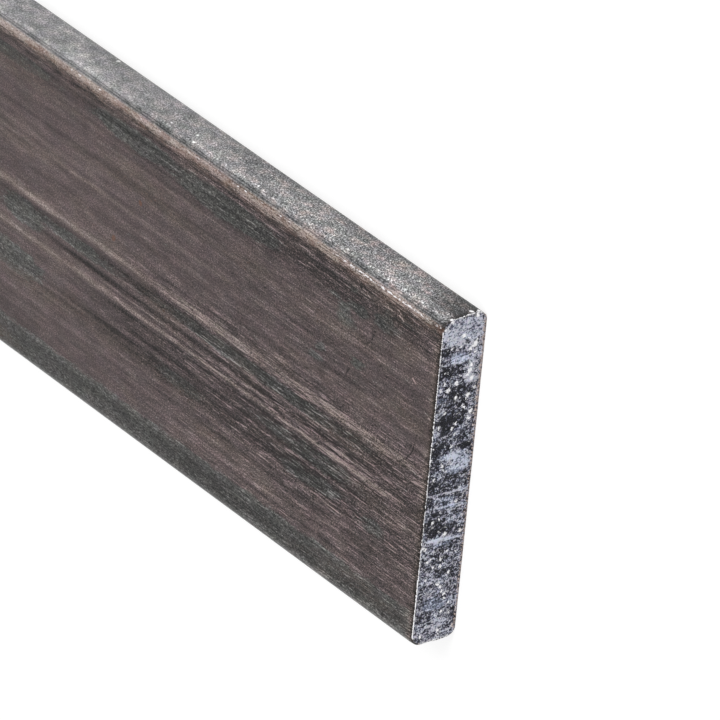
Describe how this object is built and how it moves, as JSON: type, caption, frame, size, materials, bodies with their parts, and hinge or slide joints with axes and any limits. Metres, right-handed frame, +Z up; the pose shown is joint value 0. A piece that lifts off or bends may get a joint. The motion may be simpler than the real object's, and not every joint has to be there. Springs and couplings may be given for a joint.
{
  "type": "metal flat bar",
  "caption": "Solid rectangular bar of hot-rolled mild steel with rounded corners, slightly crowned narrow edges and square cropped ends.",
  "frame": {"origin": "middle of the wide underside, which the bar rests on", "axes": "+X along the bar, +Y across its width, +Z up through its thickness"},
  "size_m": [0.3, 0.04, 0.006],
  "materials": {
    "rolled_steel": "dull grey-brown mill skin with fine drag lines along the bar"
  },
  "bodies": {
    "root": {"flat_bar": "rolled_steel"}
  },
  "joints": []
}
